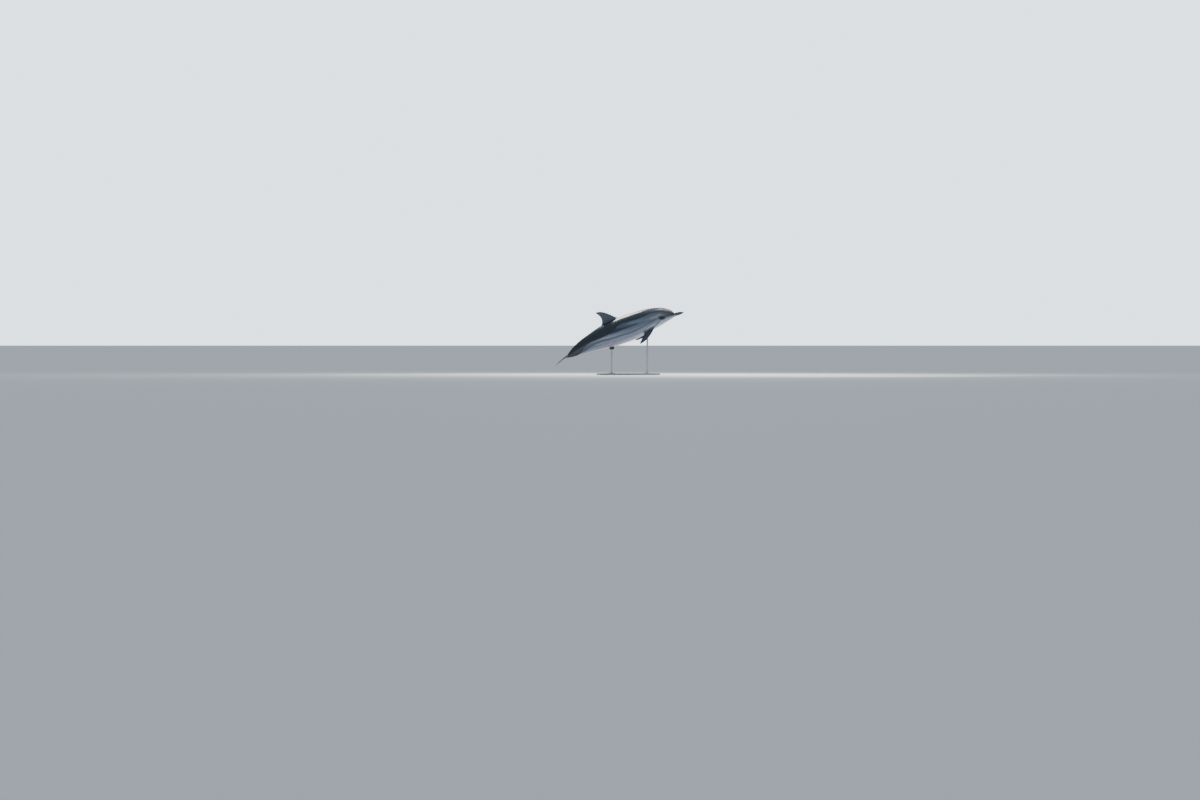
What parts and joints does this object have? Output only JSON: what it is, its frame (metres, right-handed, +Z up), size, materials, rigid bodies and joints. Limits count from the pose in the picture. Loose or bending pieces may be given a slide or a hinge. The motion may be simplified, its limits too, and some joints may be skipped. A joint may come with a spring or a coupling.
{
  "type": "striped dolphin",
  "caption": "Life-size striped dolphin in mid-leap, nose up and tail down, held over a flat base plate by two upright rods with padded tops.",
  "frame": {"origin": "centre of the underside of the stand's base plate", "axes": "+X forward, towards the tip of the beak; +Z up; the body's plane of symmetry is y = 0, with the animal's left side towards +Y"},
  "size_m": [1.9617, 0.5194, 1.0134],
  "materials": {
    "skin_dark": "wet, smooth, dark slate cape, fins and tail",
    "skin_flank": "wet, smooth, mid-grey flank with darker stripes",
    "skin_pale": "wet, smooth, pale throat and belly",
    "eye": "wet, very dark brown",
    "base_plate": "satin mid grey",
    "rod": "brushed",
    "pad": "matte black"
  },
  "bodies": {
    "root": {"beak_upper": "skin_dark", "lower_jaw": "skin_pale", "head": "skin_flank", "chest": "skin_flank", "trunk": "skin_flank", "loin": "skin_flank", "tail_stock": "skin_dark", "dorsal_fin": "skin_dark", "flipper_left": "skin_dark", "flipper_right": "skin_dark", "fluke_left": "skin_dark", "fluke_right": "skin_dark", "eye_left": "eye", "eye_right": "eye", "stand_base": "base_plate", "stand_rod_front": "rod", "stand_rod_rear": "rod", "stand_foot_front": "rod", "stand_foot_rear": "rod", "stand_pad_front": "pad", "stand_pad_rear": "pad"}
  },
  "joints": []
}
